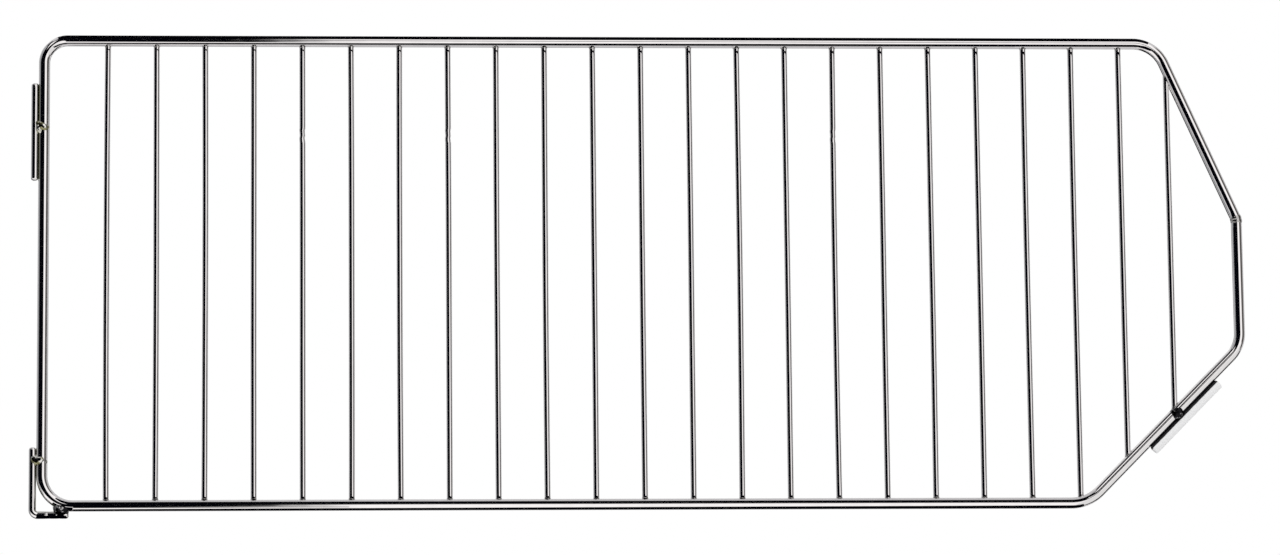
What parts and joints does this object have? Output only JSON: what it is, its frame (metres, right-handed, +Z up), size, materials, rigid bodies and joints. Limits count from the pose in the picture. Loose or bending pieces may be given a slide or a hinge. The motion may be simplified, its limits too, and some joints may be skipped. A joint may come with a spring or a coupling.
{
  "type": "wire shelf divider panel",
  "caption": "Flat chrome-plated wire divider: a bent round-rod frame filled with thin upright wires, with short outboard rods that hook it into a wire basket or shelf.",
  "frame": {"origin": "bottom centre of the whole panel's box, midway through its thickness", "axes": "+X from the rear edge to the pointed front edge, +Z up along the upright wires, Y through the thickness"},
  "size_m": [0.5016, 0.0058, 0.2005],
  "materials": {
    "frame_chrome": "bright nickel-chrome plate on drawn steel rod, faint draw lines",
    "wire_chrome": "bright nickel-chrome plate on thin drawn steel wire",
    "clip_chrome": "bright nickel-chrome plate, slightly rounded cut ends",
    "weld_chrome": "plated over uneven weld metal, darker and slightly yellow in the crevices"
  },
  "bodies": {
    "root": {"perimeter_frame": "frame_chrome", "frame_butt_weld": "weld_chrome", "upright_wire_01": "wire_chrome", "upright_wire_02": "wire_chrome", "upright_wire_03": "wire_chrome", "upright_wire_04": "wire_chrome", "upright_wire_05": "wire_chrome", "upright_wire_06": "wire_chrome", "upright_wire_07": "wire_chrome", "upright_wire_08": "wire_chrome", "upright_wire_09": "wire_chrome", "upright_wire_10": "wire_chrome", "upright_wire_11": "wire_chrome", "upright_wire_12": "wire_chrome", "upright_wire_13": "wire_chrome", "upright_wire_14": "wire_chrome", "upright_wire_15": "wire_chrome", "upright_wire_16": "wire_chrome", "upright_wire_17": "wire_chrome", "upright_wire_18": "wire_chrome", "upright_wire_19": "wire_chrome", "upright_wire_20": "wire_chrome", "upright_wire_21": "wire_chrome", "upright_wire_22": "wire_chrome", "upright_wire_23": "wire_chrome", "bottom_weld_collars": "weld_chrome", "top_weld_collars": "weld_chrome", "rear_clip_rod": "clip_chrome", "rear_clip_weld": "weld_chrome", "corner_hook_rod": "clip_chrome", "corner_hook_upper_weld": "weld_chrome", "corner_hook_lower_weld": "weld_chrome", "front_clip_rod": "clip_chrome", "front_clip_weld": "weld_chrome"}
  },
  "joints": []
}
